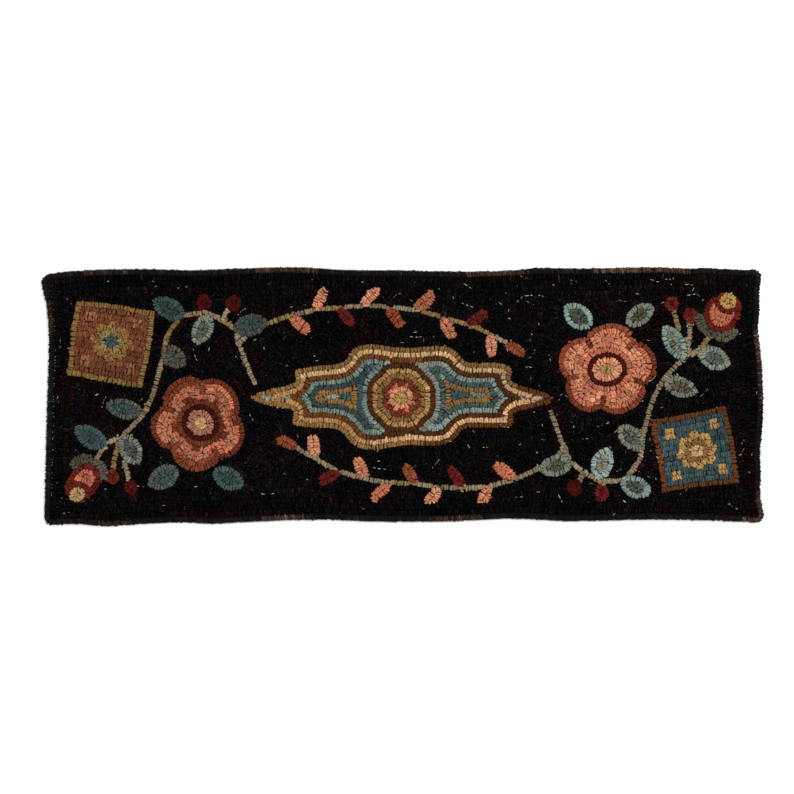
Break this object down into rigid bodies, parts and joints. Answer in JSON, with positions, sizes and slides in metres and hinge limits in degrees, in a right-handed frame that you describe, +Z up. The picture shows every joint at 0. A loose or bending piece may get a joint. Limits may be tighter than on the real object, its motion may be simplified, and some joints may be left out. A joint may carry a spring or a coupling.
{
  "type": "hooked wool rug",
  "caption": "Long narrow hooked wool rug lying flat, with a looped pile field and a yarn-whipped edge all round.",
  "frame": {"origin": "on the floor plane, under the middle of the rug's bounding box", "axes": "+X along the rug, +Y across it towards the design's top, +Z up out of the pile"},
  "size_m": [0.872, 0.3138, 0.0079],
  "materials": {
    "hooked_wool": "matt looped wool strips on linen, mostly black with coral, teal, sage, gold and red",
    "binding_yarn": "matt wool yarn, wrapped close, shifting from brown to charcoal and bottle green"
  },
  "bodies": {
    "root": {"hooked_field": "hooked_wool", "whipped_edge": "binding_yarn"}
  },
  "joints": []
}
